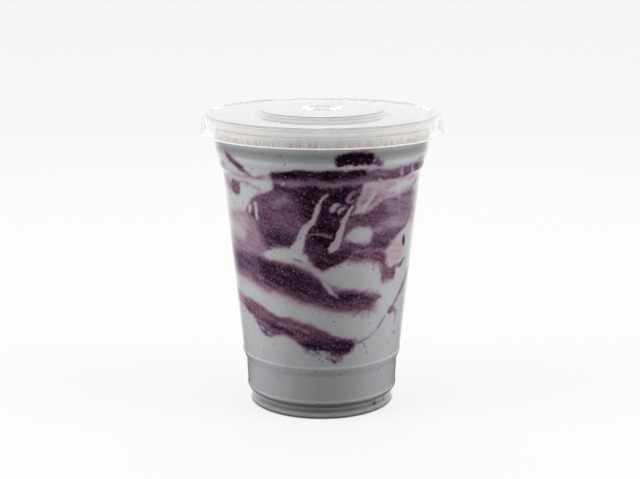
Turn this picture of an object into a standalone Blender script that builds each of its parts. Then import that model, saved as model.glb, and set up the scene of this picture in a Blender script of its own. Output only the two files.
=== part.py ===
"""Berry-marbled frozen yogurt in a clear plastic cup with a push-fit flat lid.

The pieces stand as they do on a counter: metres, +Z up, with the origin at the
centre of the cup's foot. Every piece is turned round the Z axis.
"""

import math

import bmesh
import bpy

MM = 0.001

# Turning and fit
TURN_STEPS = 48
CLEARANCE = 0.3 * MM
MERGE_DISTANCE = 0.001 * MM
SHARP_ANGLE = math.radians(40.0)

# Cup, sizes of its outer face
CUP_WALL = 0.5 * MM
RIM_RADIUS = 49.2 * MM
RIM_TOP = 126.2 * MM
RIM_CURL = 0.7 * MM
RIM_CURL_STEPS = 6
CONTACT_OUTER_RADIUS = 30.6 * MM
CONTACT_INNER_RADIUS = 28.6 * MM
FOOT_RISER = (
    (28.2 * MM, 0.5 * MM),
    (27.8 * MM, 2.6 * MM),
)
BASE_PANEL_RADIUS = 26.5 * MM
BASE_PANEL_HEIGHT = 3.0 * MM

# Bands of the cup's wall from the mouth down, in millimetres: name, upper radius
# and height, lower radius and height. Each is straight, and sloped ledges join them
WALL_BANDS = (
    ("mouth", 47.3, 123.0, 47.15, 120.6),
    ("flare", 46.4, 117.4, 45.65, 114.6),
    ("upper collar", 45.4, 111.6, 45.0, 110.0),
    ("lower collar", 44.15, 108.3, 43.75, 104.9),
    ("main taper", 42.25, 101.4, 34.4, 23.2),
    ("stacking ring", 33.2, 19.4, 32.45, 7.2),
    ("foot", 31.15, 4.0, 31.1, 1.0),
)

# Lid, sizes of its upper face
LID_WALL = 0.4 * MM
SLOT_DIMPLE_RADIUS = 8.6 * MM
SLOT_DIMPLE_EDGE = 9.3 * MM
SLOT_DIMPLE_HEIGHT = 127.9 * MM
DISC_HEIGHT = 128.3 * MM
DISC_RADIUS = 26.9 * MM
DISC_FOOT_RADIUS = 27.8 * MM
PANEL_HEIGHT = 126.6 * MM
PANEL_RADIUS = 47.2 * MM
CREST_HEIGHT = 127.0 * MM
CREST_INNER_RADIUS = 48.2 * MM
CREST_OUTER_RADIUS = 49.9 * MM
SKIRT = (
    (50.75 * MM, 126.3 * MM),
    (51.05 * MM, 124.8 * MM),
    (51.45 * MM, 123.0 * MM),
    (51.5 * MM, 121.4 * MM),
    (51.8 * MM, 119.9 * MM),
    (52.3 * MM, 118.8 * MM),
)
STRAW_CUT_LENGTH = 15.0 * MM
STRAW_CUT_WIDTH = 0.5 * MM
STRAW_CUT_DEPTH = 4.0 * MM
STRAW_CUT_ANGLES = (45.0, 135.0)

# Frozen yogurt
FILL_HEIGHT = 123.6 * MM
DOME_RISE = 1.6 * MM
SWIRL_DEPTH = 0.45 * MM
SWIRL_PITCH = 13.0 * MM
SWIRL_FADE = 7.0 * MM
DRIFT_DEPTH = 0.25 * MM
DRIFT_LOBES = 2
DRIFT_PHASE = 0.7
DRIFT_TWIST = 0.6
TOP_RINGS = 12


def clear_scene():
    """Take the start-up objects out of the file."""
    for existing in list(bpy.data.objects):
        bpy.data.objects.remove(existing, do_unlink=True)


def new_collection(name):
    """Make a collection under the scene's own."""
    collection = bpy.data.collections.new(name)
    bpy.context.scene.collection.children.link(collection)
    return collection


def make_material(name, colour, roughness, transmission=0.0, ior=1.45):
    """Make a Principled material from a linear colour."""
    material = bpy.data.materials.new(name)
    material.use_nodes = True
    shader = material.node_tree.nodes["Principled BSDF"]
    shader.inputs["Base Color"].default_value = (*colour, 1.0)
    shader.inputs["Roughness"].default_value = roughness
    shader.inputs["Metallic"].default_value = 0.0
    shader.inputs["Transmission Weight"].default_value = transmission
    shader.inputs["IOR"].default_value = ior
    return material


def cup_wall_points():
    """List the wall's (radius, height) points from the mouth down to the foot."""
    points = []
    for _, upper_radius, upper_height, lower_radius, lower_height in WALL_BANDS:
        points.append((upper_radius * MM, upper_height * MM))
        points.append((lower_radius * MM, lower_height * MM))
    return points


def cup_base_points():
    """List the points from the foot's contact ring in to the base panel's centre."""
    points = [
        (CONTACT_OUTER_RADIUS, 0.0),
        (CONTACT_INNER_RADIUS, 0.0),
    ]
    points.extend(FOOT_RISER)
    points.append((BASE_PANEL_RADIUS, BASE_PANEL_HEIGHT))
    points.append((0.0, BASE_PANEL_HEIGHT))
    return points


def rim_curl_points():
    """List the points inside the rolled rim, from its free edge up and over to the wall."""
    centre_radius = RIM_RADIUS - CUP_WALL - RIM_CURL
    centre_height = RIM_TOP - CUP_WALL - RIM_CURL
    points = []
    for step in range(RIM_CURL_STEPS + 1):
        angle = math.radians(-90.0 + 270.0 * step / RIM_CURL_STEPS)
        points.append((
            centre_radius + RIM_CURL * math.cos(angle),
            centre_height + RIM_CURL * math.sin(angle),
        ))
    return points


def lid_points():
    """List the lid's upper face from the straw cut out to the lip of the skirt."""
    points = [
        (0.0, SLOT_DIMPLE_HEIGHT),
        (SLOT_DIMPLE_RADIUS, SLOT_DIMPLE_HEIGHT),
        (SLOT_DIMPLE_EDGE, DISC_HEIGHT),
        (DISC_RADIUS, DISC_HEIGHT),
        (DISC_FOOT_RADIUS, PANEL_HEIGHT),
        (PANEL_RADIUS, PANEL_HEIGHT),
        (CREST_INNER_RADIUS, CREST_HEIGHT),
        (CREST_OUTER_RADIUS, CREST_HEIGHT),
    ]
    points.extend(SKIRT)
    return points


def inset_points(points, distance):
    """Move an outline that runs down its outer side inwards, keeping its corners square."""
    moved = []
    for index, (radius, height) in enumerate(points):
        normals = []
        for first, second in ((index - 1, index), (index, index + 1)):
            if first < 0 or second >= len(points):
                continue
            run = points[second][0] - points[first][0]
            rise = points[second][1] - points[first][1]
            length = math.hypot(run, rise)
            normals.append((rise / length, -run / length))
        mean_x = sum(normal[0] for normal in normals) / len(normals)
        mean_z = sum(normal[1] for normal in normals) / len(normals)
        mitre = distance / (mean_x ** 2 + mean_z ** 2)
        moved.append((max(radius + mean_x * mitre, 0.0), height + mean_z * mitre))
    return moved


def turned_shell(name, points, wall, material, collection):
    """Turn an outline round Z and give the surface its wall, grown inwards."""
    mesh = bpy.data.meshes.new(name)
    edges = [(index, index + 1) for index in range(len(points) - 1)]
    mesh.from_pydata([(radius, 0.0, height) for radius, height in points], edges, [])
    shell = bpy.data.objects.new(name, mesh)
    shell.data.materials.append(material)
    collection.objects.link(shell)
    screw = shell.modifiers.new("turned", "SCREW")
    screw.axis = "Z"
    screw.steps = TURN_STEPS
    screw.render_steps = TURN_STEPS
    screw.use_merge_vertices = True
    screw.merge_threshold = MERGE_DISTANCE
    screw.use_smooth_shade = True
    wall_modifier = shell.modifiers.new("wall", "SOLIDIFY")
    wall_modifier.thickness = wall
    wall_modifier.offset = -1.0
    wall_modifier.use_even_offset = True
    return shell


def build_cup(material, collection):
    """The cup, from the rolled rim down the wall and across the base."""
    points = rim_curl_points() + cup_wall_points() + cup_base_points()
    return turned_shell("cup", points, CUP_WALL, material, collection)


def build_straw_cutters(collection):
    """Two crossing blades that slit the lid's centre for a straw."""
    cutters = []
    for angle in STRAW_CUT_ANGLES:
        mesh = bpy.data.meshes.new("straw_cut")
        blade = bmesh.new()
        bmesh.ops.create_cube(blade, size=1.0)
        bmesh.ops.scale(
            blade,
            vec=(STRAW_CUT_LENGTH, STRAW_CUT_WIDTH, STRAW_CUT_DEPTH),
            verts=blade.verts,
        )
        blade.to_mesh(mesh)
        blade.free()
        cutter = bpy.data.objects.new("straw_cut", mesh)
        cutter.location = (0.0, 0.0, SLOT_DIMPLE_HEIGHT)
        cutter.rotation_euler = (0.0, 0.0, math.radians(angle))
        cutter.hide_render = True
        cutter.display_type = "WIRE"
        collection.objects.link(cutter)
        cutters.append(cutter)
    return cutters


def build_lid(material, collection, cutter_collection):
    """The lid, from the straw cut out over the rim and down the skirt."""
    lid = turned_shell("lid", lid_points(), LID_WALL, material, collection)
    for cutter in build_straw_cutters(cutter_collection):
        cut = lid.modifiers.new("straw cut", "BOOLEAN")
        cut.operation = "DIFFERENCE"
        cut.object = cutter
    return lid


def top_lift(radius, angle, edge_radius):
    """Height of the yogurt's top over the fill line: a low dome, one spiral fold, a slow drift."""
    dome = DOME_RISE * (1.0 - (radius / edge_radius) ** 2)
    calm = min(1.0, radius / SWIRL_FADE) * min(1.0, (edge_radius - radius) / SWIRL_FADE)
    turn = 2.0 * math.pi * radius / SWIRL_PITCH
    swirl = SWIRL_DEPTH * math.cos(turn - angle)
    drift = DRIFT_DEPTH * math.sin(DRIFT_LOBES * angle + DRIFT_PHASE) * math.sin(DRIFT_TWIST * turn + angle)
    return dome + calm * (swirl + drift)


def build_frozen_yogurt(material, collection):
    """The filling: the cup's inner outline less the clearance, with a swirled top."""
    inner = inset_points(cup_wall_points() + cup_base_points(), CUP_WALL + CLEARANCE)
    side = [point for point in inner if point[1] < FILL_HEIGHT]
    edge_radius = inner[0][0]
    top = []
    for ring in range(TOP_RINGS):
        top.append((edge_radius * ring / TOP_RINGS, FILL_HEIGHT))
    outline = top + [(edge_radius, FILL_HEIGHT)] + side

    body = bmesh.new()
    vertices = [body.verts.new((radius, 0.0, height)) for radius, height in outline]
    for first, second in zip(vertices, vertices[1:]):
        body.edges.new((first, second))
    bmesh.ops.spin(
        body,
        geom=body.verts[:] + body.edges[:],
        cent=(0.0, 0.0, 0.0),
        axis=(0.0, 0.0, 1.0),
        angle=2.0 * math.pi,
        steps=TURN_STEPS,
    )
    bmesh.ops.remove_doubles(body, verts=body.verts, dist=MERGE_DISTANCE)
    for vertex in body.verts:
        radius = math.hypot(vertex.co.x, vertex.co.y)
        if vertex.co.z > FILL_HEIGHT - MERGE_DISTANCE:
            angle = math.atan2(vertex.co.y, vertex.co.x)
            vertex.co.z += top_lift(radius, angle, edge_radius)
    bmesh.ops.recalc_face_normals(body, faces=body.faces)
    mesh = bpy.data.meshes.new("frozen_yogurt")
    body.to_mesh(mesh)
    body.free()
    mesh.shade_smooth()
    mesh.set_sharp_from_angle(angle=SHARP_ANGLE)
    yogurt = bpy.data.objects.new("frozen_yogurt", mesh)
    yogurt.data.materials.append(material)
    collection.objects.link(yogurt)
    return yogurt


clear_scene()
parts = new_collection("frozen_yogurt_cup")
cutters = new_collection("cutters")

clear_cup_plastic = make_material("clear_cup_plastic", (0.86, 0.88, 0.89), 0.06, transmission=1.0, ior=1.57)
clear_lid_plastic = make_material("clear_lid_plastic", (0.90, 0.91, 0.93), 0.06, transmission=1.0, ior=1.57)
marbled_yogurt = make_material("marbled_yogurt", (0.25, 0.21, 0.24), 0.45)

build_cup(clear_cup_plastic, parts)
build_lid(clear_lid_plastic, parts, cutters)
build_frozen_yogurt(marbled_yogurt, parts)
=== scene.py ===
"""A clear plastic cup of frozen yogurt marbled with dark berry, under a clear flat lid."""

import math

import bpy
import numpy as np
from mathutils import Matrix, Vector


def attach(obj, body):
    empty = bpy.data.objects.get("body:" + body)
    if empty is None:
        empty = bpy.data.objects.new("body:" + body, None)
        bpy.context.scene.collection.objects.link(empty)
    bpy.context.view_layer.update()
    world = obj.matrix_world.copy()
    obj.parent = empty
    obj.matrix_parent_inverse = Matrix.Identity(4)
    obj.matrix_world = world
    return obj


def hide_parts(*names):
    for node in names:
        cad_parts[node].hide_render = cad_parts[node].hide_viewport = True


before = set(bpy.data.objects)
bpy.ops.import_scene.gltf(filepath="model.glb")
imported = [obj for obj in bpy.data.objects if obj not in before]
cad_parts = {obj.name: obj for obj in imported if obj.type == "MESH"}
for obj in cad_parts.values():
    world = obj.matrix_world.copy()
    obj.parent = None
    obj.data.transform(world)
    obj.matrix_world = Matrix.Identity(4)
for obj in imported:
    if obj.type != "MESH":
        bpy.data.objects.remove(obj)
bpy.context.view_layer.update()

MM = 0.001


# Camera. It stands 0.58 m in front of the cup and a little above it, as the photograph was
# taken, and looks about 13 degrees down, so that the lid's top shows as a thin ellipse.
CAMERA_PLACE = (-0.00075, -0.5771, 0.2028)
CAMERA_PITCH = math.radians(12.85)
CAMERA_LENS = 76.5
CAMERA_SENSOR = 36.0

bpy.ops.object.camera_add(
    location=CAMERA_PLACE,
    rotation=(math.radians(90.0) - CAMERA_PITCH, 0.0, 0.0),
)
camera = bpy.context.object
camera.name = "camera"
camera.data.lens = CAMERA_LENS
camera.data.sensor_width = CAMERA_SENSOR
bpy.context.scene.camera = camera


# Light. The cup stands on a white table lit from below, in a white tent that is dim behind the
# camera, between two soft side lamps, with a small lamp behind for the glints on the lid. Black
# cards keep the table's glare off the cup's front and dim the table seen through its wall.
TENT_HORIZON = 1.15
TENT_FRONT = 0.1
TENT_FRONT_EDGES = (-0.95, -0.30)
TENT_ROOF = 0.6
LAMP_AIM = 0.06
# Each lamp: name, degrees from the front, how far off and how high, size, power, if it glints
LAMPS = (
    ("left_lamp", -79.0, 0.9, 0.30, 0.5, 4.0, False),
    ("right_lamp", 79.0, 0.9, 0.30, 0.5, 3.8, False),
    ("glint_lamp", 180.0, 0.6, 0.33, 0.05, 0.14, True),
)
TABLE_COLOUR = "#8C8C8D"
TABLE_GLOW = 0.73
# Within these radii the table's glow fades out round the cup's foot: a painted contact shadow
CONTACT_SHADOW_INNER = 0.0303
CONTACT_SHADOW_OUTER = 0.0319
TABLE_HALF_SIZE = 6.0
# Each card: name, radius inside and out, degrees from the front where it starts and ends to
# fade, how much of it is left behind the cup, what meets it
CARDS = (
    ("glare_card", 0.033, 1.15, 120.0, 165.0, 0.0, "reflections"),
    ("shade_card", 0.0315, 0.30, 25.0, 75.0, 0.55, "light through the wall"),
)
CARD_HEIGHT = 0.002
CARD_CORNERS = 96


def linear(hex_colour):
    """Turn an sRGB hex colour into linear red, green, blue and alpha."""
    channels = []
    for start in (1, 3, 5):
        value = int(hex_colour[start:start + 2], 16) / 255.0
        if value <= 0.04045:
            channels.append(value / 12.92)
        else:
            channels.append(((value + 0.055) / 1.055) ** 2.4)
    return (*channels, 1.0)


def add_node(tree, kind, settings=None, values=None, links=None):
    """Add a shader node with its settings, its sockets' values and the links into it."""
    node = tree.nodes.new("ShaderNode" + kind)
    for name, value in (settings or {}).items():
        setattr(node, name, value)
    for socket, value in (values or {}).items():
        node.inputs[socket].default_value = value
    for socket, source in (links or {}).items():
        tree.links.new(source, node.inputs[socket])
    return node


def new_material(name):
    """Make an empty node material with its output."""
    material = bpy.data.materials.new(name)
    material.use_nodes = True
    material.node_tree.nodes.clear()
    return material, material.node_tree, add_node(material.node_tree, "OutputMaterial")


world = bpy.data.worlds.new("white_tent")
world.use_nodes = True
tent_tree = world.node_tree
tent = tent_tree.nodes["Background"]
tent.inputs["Color"].default_value = (1.0, 1.0, 1.0, 1.0)
tent_way = add_node(tent_tree, "TexCoord")
tent_parts = add_node(tent_tree, "SeparateXYZ", links={"Vector": tent_way.outputs["Generated"]})
tent_round = add_node(
    tent_tree,
    "MapRange",
    settings={"interpolation_type": "SMOOTHSTEP"},
    values={
        "From Min": TENT_FRONT_EDGES[0],
        "From Max": TENT_FRONT_EDGES[1],
        "To Min": TENT_FRONT,
        "To Max": TENT_HORIZON,
    },
    links={"Value": tent_parts.outputs["Y"]},
)
tent_height = add_node(
    tent_tree,
    "MapRange",
    values={"To Max": TENT_ROOF},
    links={"Value": tent_parts.outputs["Z"], "To Min": tent_round.outputs["Result"]},
)
tent_tree.links.new(tent_height.outputs["Result"], tent.inputs["Strength"])
bpy.context.scene.world = world
bpy.context.scene.view_settings.view_transform = "Standard"

for lamp_name, lamp_turn, lamp_distance, lamp_height, lamp_size, lamp_power, lamp_glints in LAMPS:
    lamp_angle = math.radians(lamp_turn)
    bpy.ops.object.light_add(
        type="AREA",
        location=(lamp_distance * math.sin(lamp_angle), -lamp_distance * math.cos(lamp_angle), lamp_height),
        rotation=(math.atan2(lamp_distance, lamp_height - LAMP_AIM), 0.0, lamp_angle),
    )
    lamp = bpy.context.object
    lamp.name = lamp_name
    lamp.data.size = lamp_size
    lamp.data.energy = lamp_power
    lamp.visible_glossy = lamp_glints
    lamp.visible_transmission = False

table_face, table_tree, table_output = new_material("backlit_white_acrylic")
table_place = add_node(table_tree, "TexCoord")
table_distance = add_node(
    table_tree,
    "VectorMath",
    settings={"operation": "LENGTH"},
    links={0: table_place.outputs["Object"]},
)
# Emission is zero inside the first radius and full past the second: a painted contact shadow round the foot
table_glow_and_shadow = add_node(
    table_tree,
    "MapRange",
    settings={"interpolation_type": "SMOOTHSTEP"},
    values={"From Min": CONTACT_SHADOW_INNER, "From Max": CONTACT_SHADOW_OUTER, "To Max": TABLE_GLOW},
    links={"Value": table_distance.outputs["Value"]},
)
table_shader = add_node(
    table_tree,
    "BsdfPrincipled",
    values={
        "Base Color": linear(TABLE_COLOUR),
        "Roughness": 1.0,
        "Specular IOR Level": 0.0,
        "Emission Color": (1.0, 1.0, 1.0, 1.0),
    },
    links={"Emission Strength": table_glow_and_shadow.outputs["Result"]},
)
table_tree.links.new(table_shader.outputs["BSDF"], table_output.inputs["Surface"])

bpy.ops.mesh.primitive_plane_add(size=2.0 * TABLE_HALF_SIZE)
table = bpy.context.object
table.name = "table"
table.data.materials.append(table_face)

for card_name, card_inside, card_outside, fade_from, fade_to, card_left, card_meets in CARDS:
    bpy.ops.mesh.primitive_circle_add(
        vertices=CARD_CORNERS,
        radius=card_inside,
        fill_type="NOTHING",
        location=(0.0, 0.0, CARD_HEIGHT),
    )
    card = bpy.context.object
    card.name = card_name
    bpy.ops.object.mode_set(mode="EDIT")
    bpy.ops.mesh.select_all(action="SELECT")
    bpy.ops.mesh.extrude_edges_move()
    card_growth = card_outside / card_inside
    bpy.ops.transform.resize(value=(card_growth, card_growth, 1.0), center_override=(0.0, 0.0, CARD_HEIGHT))
    bpy.ops.object.mode_set(mode="OBJECT")
    card_face, card_tree, card_output = new_material("faded_black_" + card_name)
    card_place = add_node(card_tree, "TexCoord")
    card_way = add_node(
        card_tree,
        "VectorMath",
        settings={"operation": "NORMALIZE"},
        links={0: card_place.outputs["Object"]},
    )
    card_parts = add_node(card_tree, "SeparateXYZ", links={"Vector": card_way.outputs["Vector"]})
    card_cover = add_node(
        card_tree,
        "MapRange",
        settings={"interpolation_type": "SMOOTHSTEP"},
        values={
            "From Min": -math.cos(math.radians(fade_from)),
            "From Max": -math.cos(math.radians(fade_to)),
            "To Min": 1.0,
            "To Max": card_left,
        },
        links={"Value": card_parts.outputs["Y"]},
    )
    card_black = add_node(card_tree, "BsdfDiffuse", values={"Color": (0.0, 0.0, 0.0, 1.0)})
    card_clear = add_node(card_tree, "BsdfTransparent")
    card_mix = add_node(
        card_tree,
        "MixShader",
        links={
            0: card_cover.outputs["Result"],
            1: card_clear.outputs["BSDF"],
            2: card_black.outputs["BSDF"],
        },
    )
    card_tree.links.new(card_mix.outputs["Shader"], card_output.inputs["Surface"])
    card.data.materials.append(card_face)
    card.visible_camera = False
    card.visible_diffuse = False
    card.visible_shadow = False
    card.visible_glossy = card_meets == "reflections"
    card.visible_transmission = card_meets == "light through the wall"


# Cup. A clear PET cold cup, drawn from heated sheet over a mould: rolled rim, two stacking
# collars, a straight taper, two steps above the foot and a raised panel under it.
CUP_WALL = 0.5 * MM
RIM_RADIUS = 49.2 * MM
RIM_TOP = 126.2 * MM
RIM_CURL_REACH = 0.7 * MM
RIM_CURL_DROP = 1.4 * MM
RIM_CURL_STEPS = 24
FOOT_CONTACT = ((30.6, 0.0), (28.6, 0.0))
FOOT_RISER = ((28.2, 0.5), (27.8, 2.6))
BASE_PANEL = ((26.5, 3.0), (0.0, 3.0))
# Bands of the wall from the mouth down: upper radius and height, lower radius and height
WALL_BANDS = (
    (47.3, 123.0, 47.15, 120.6),
    (46.4, 117.4, 45.65, 114.6),
    (45.4, 111.6, 45.0, 110.0),
    (44.15, 108.3, 43.75, 105.2),
    (42.45, 103.4, 34.44, 24.0),
    (34.72, 23.5, 34.68, 22.9),
    (33.2, 19.4, 32.5, 8.3),
    (32.8, 7.8, 32.74, 7.2),
    (31.15, 4.0, 31.1, 1.0),
)
CORNER_RADIUS = 2.0 * MM
CORNER_STEPS = 5
LONGEST_CORNER = 0.45
TURN_STEPS = 192
WELD = 0.002 * MM
PET_IOR = 1.57
CUP_TINT = "#FBFCFC"
DRAW_MARK_WIDTH = 7.0 * MM
DRAW_MARK_DEPTH = 0.05 * MM


def round_corners(points, radius, steps):
    """Replace each corner with an arc of up to this radius, which leaves some of each side."""
    rounded = [points[0]]
    for before, corner, after in zip(points, points[1:], points[2:]):
        here = Vector(corner)
        to_before = Vector(before) - here
        to_after = Vector(after) - here
        turn = math.pi - to_before.angle(to_after)
        room = LONGEST_CORNER * min(to_before.length, to_after.length)
        reach = min(radius * math.tan(turn / 2.0), room)
        start = here + to_before.normalized() * reach
        end = here + to_after.normalized() * reach
        for step in range(steps + 1):
            share = step / steps
            point = start.lerp(here, share).lerp(here.lerp(end, share), share)
            rounded.append((point.x, point.y))
    rounded.append(points[-1])
    return rounded


def inset_outline(points, distance):
    """Move an outline that runs down its outer side inwards by this distance."""
    moved = []
    last = len(points) - 1
    for index, point in enumerate(points):
        ahead = Vector(points[min(index + 1, last)]) - Vector(points[max(index - 1, 0)])
        inward = Vector((ahead.y, -ahead.x)).normalized()
        moved.append((max(point[0] + inward.x * distance, 0.0), point[1] + inward.y * distance))
    return moved


def turn_outline(name, outline, steps):
    """Extrude an outline point by point from one vertex, and spin it round the cup's axis."""
    bpy.ops.mesh.primitive_plane_add(size=MM, location=(outline[0][0], 0.0, outline[0][1]))
    piece = bpy.context.object
    piece.name = name
    bpy.ops.object.mode_set(mode="EDIT")
    bpy.ops.mesh.merge(type="CENTER")
    for here, there in zip(outline, outline[1:]):
        step = (there[0] - here[0], 0.0, there[1] - here[1])
        bpy.ops.mesh.extrude_vertices_move(TRANSFORM_OT_translate={"value": step})
    bpy.ops.mesh.select_all(action="SELECT")
    bpy.ops.mesh.spin(steps=steps, angle=2.0 * math.pi, center=(0.0, 0.0, 0.0), axis=(0.0, 0.0, 1.0))
    bpy.ops.mesh.select_all(action="SELECT")
    bpy.ops.mesh.remove_doubles(threshold=WELD)
    bpy.ops.mesh.normals_make_consistent(inside=False)
    bpy.ops.object.mode_set(mode="OBJECT")
    bpy.ops.object.transform_apply(location=True, rotation=True, scale=True)
    return piece


def apply_wall(piece, thickness):
    """Give an open turned skin its wall, grown inwards from the outer face."""
    wall = piece.modifiers.new("wall", "SOLIDIFY")
    wall.thickness = thickness
    wall.offset = -1.0
    wall.use_even_offset = True
    bpy.context.view_layer.objects.active = piece
    bpy.ops.object.modifier_apply(modifier=wall.name)


def let_light_through(tree, shader, output):
    """Show the shader, but let the light of lamps pass it without a shadow."""
    clear = add_node(tree, "BsdfTransparent")
    rays = add_node(tree, "LightPath")
    mix = add_node(
        tree,
        "MixShader",
        links={0: rays.outputs["Is Shadow Ray"], 1: shader.outputs["BSDF"], 2: clear.outputs["BSDF"]},
    )
    tree.links.new(mix.outputs["Shader"], output.inputs["Surface"])


curl_centre = (RIM_RADIUS - CUP_WALL - RIM_CURL_REACH, RIM_TOP - CUP_WALL - RIM_CURL_DROP)
rim_curl = []
for curl_step in range(RIM_CURL_STEPS + 1):
    curl_angle = math.radians(-90.0 + 270.0 * curl_step / RIM_CURL_STEPS)
    rim_curl.append((
        curl_centre[0] + RIM_CURL_REACH * math.cos(curl_angle),
        curl_centre[1] + RIM_CURL_DROP * math.sin(curl_angle),
    ))
wall_corners = []
for upper_radius, upper_height, lower_radius, lower_height in WALL_BANDS:
    wall_corners.append((upper_radius * MM, upper_height * MM))
    wall_corners.append((lower_radius * MM, lower_height * MM))
for foot_radius, foot_height in FOOT_CONTACT + FOOT_RISER + BASE_PANEL:
    wall_corners.append((foot_radius * MM, foot_height * MM))
wall_outline = round_corners([rim_curl[-1]] + wall_corners, CORNER_RADIUS, CORNER_STEPS)

cup = turn_outline("clear_cup", rim_curl[:-1] + wall_outline, TURN_STEPS)
apply_wall(cup, CUP_WALL)
bpy.ops.object.shade_smooth()

# PET sheet: clear and glossy, with faint soft waves left by the drawing
pet, pet_tree, pet_output = new_material("drawn_clear_pet")
pet_place = add_node(pet_tree, "TexCoord")
draw_marks = add_node(
    pet_tree,
    "TexNoise",
    values={"Scale": 1.0 / DRAW_MARK_WIDTH, "Detail": 1.0},
    links={"Vector": pet_place.outputs["Object"]},
)
pet_bump = add_node(
    pet_tree,
    "Bump",
    values={"Strength": 0.15, "Distance": DRAW_MARK_DEPTH},
    links={"Height": draw_marks.outputs["Fac"]},
)
pet_shader = add_node(
    pet_tree,
    "BsdfPrincipled",
    values={
        "Base Color": linear(CUP_TINT),
        "Roughness": 0.02,
        "IOR": PET_IOR,
        "Transmission Weight": 1.0,
    },
    links={"Normal": pet_bump.outputs["Normal"]},
)
let_light_through(pet_tree, pet_shader, pet_output)
cup.data.materials.append(pet)
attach(cup, "root")
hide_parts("cup")


# Frozen yogurt. Thick soft yogurt, pale grey-white and stirred with dark berry puree, fills
# the cup and wets its wall, so the puree shows as flat pools and streaks against the plastic.
YOGURT_REACH = 0.4 * MM
YOGURT_TURN_STEPS = 380
YOGURT_STEP = 0.62 * MM
YOGURT_NEAREST = 0.4 * MM
FILL_HEIGHT = 122.6 * MM
LEVEL_TOLERANCE = 0.01 * MM
EDGE_ROUNDING = 1.0 * MM
EDGE_RUN = 4.0 * MM
TOP_STEP = 1.6 * MM
DOME_RISE = 1.6 * MM
SWIRL_DEPTH = 0.45 * MM
SWIRL_PITCH = 13.0 * MM
SWIRL_FADE = 7.0 * MM
DRIFT_DEPTH = 0.25 * MM
DRIFT_LOBES = 2
DRIFT_PHASE = 0.7
DRIFT_TWIST = 0.6


def space_out(points, spacing):
    """Add points along an outline so that none are further apart than the spacing."""
    spaced = [points[0]]
    for here, there in zip(points, points[1:]):
        count = max(1, round(math.dist(here, there) / spacing))
        for step in range(1, count + 1):
            share = step / count
            spaced.append((
                here[0] + (there[0] - here[0]) * share,
                here[1] + (there[1] - here[1]) * share,
            ))
    return spaced


def thin_out(points, spacing):
    """Leave out the points of an outline that crowd the last kept one."""
    kept = [points[0]]
    for point in points[1:]:
        if math.dist(kept[-1], point) >= spacing:
            kept.append(point)
    return kept


def top_lift(radius, angle, edge_radius):
    """Height of the yogurt's top over its edge: a rounded shoulder, a low dome, one spiral fold."""
    shoulder = EDGE_ROUNDING * np.sqrt(np.clip((edge_radius - radius) / EDGE_RUN, 0.0, 1.0))
    dome = DOME_RISE * (1.0 - (radius / edge_radius) ** 2)
    calm = np.minimum(1.0, radius / SWIRL_FADE) * np.minimum(1.0, (edge_radius - radius) / SWIRL_FADE)
    turn = 2.0 * math.pi * radius / SWIRL_PITCH
    swirl = SWIRL_DEPTH * np.cos(turn - angle)
    drift = DRIFT_DEPTH * np.sin(DRIFT_LOBES * angle + DRIFT_PHASE) * np.sin(DRIFT_TWIST * turn + angle)
    return shoulder + dome + np.maximum(calm, 0.0) * (swirl + drift)


yogurt_side = [point for point in inset_outline(wall_outline, YOGURT_REACH) if point[1] < FILL_HEIGHT]
yogurt_side = thin_out(yogurt_side, YOGURT_NEAREST)
edge_radius = yogurt_side[0][0]
shoulder_start = (edge_radius - EDGE_RUN, FILL_HEIGHT)
yogurt_outline = space_out([(0.0, FILL_HEIGHT), shoulder_start], TOP_STEP)
yogurt_outline += space_out([shoulder_start, (edge_radius, FILL_HEIGHT)], YOGURT_STEP)[1:]
yogurt_outline += space_out([(edge_radius, FILL_HEIGHT)] + yogurt_side[:-1], YOGURT_STEP)[1:]
yogurt_outline += space_out(yogurt_side[-2:], TOP_STEP)[1:]
yogurt = turn_outline("marbled_yogurt", yogurt_outline, YOGURT_TURN_STEPS)

vertex_count = len(yogurt.data.vertices)
places = np.zeros(vertex_count * 3)
yogurt.data.vertices.foreach_get("co", places)
places = places.reshape(-1, 3)
radii = np.hypot(places[:, 0], places[:, 1])
on_top = places[:, 2] > FILL_HEIGHT - LEVEL_TOLERANCE
turn_angle = np.arctan2(places[:, 1], places[:, 0])
lift = top_lift(radii, turn_angle, edge_radius)
places[on_top, 2] += lift[on_top]
yogurt.data.vertices.foreach_set("co", places.ravel())
yogurt.data.update()
bpy.ops.object.shade_smooth()
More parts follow.
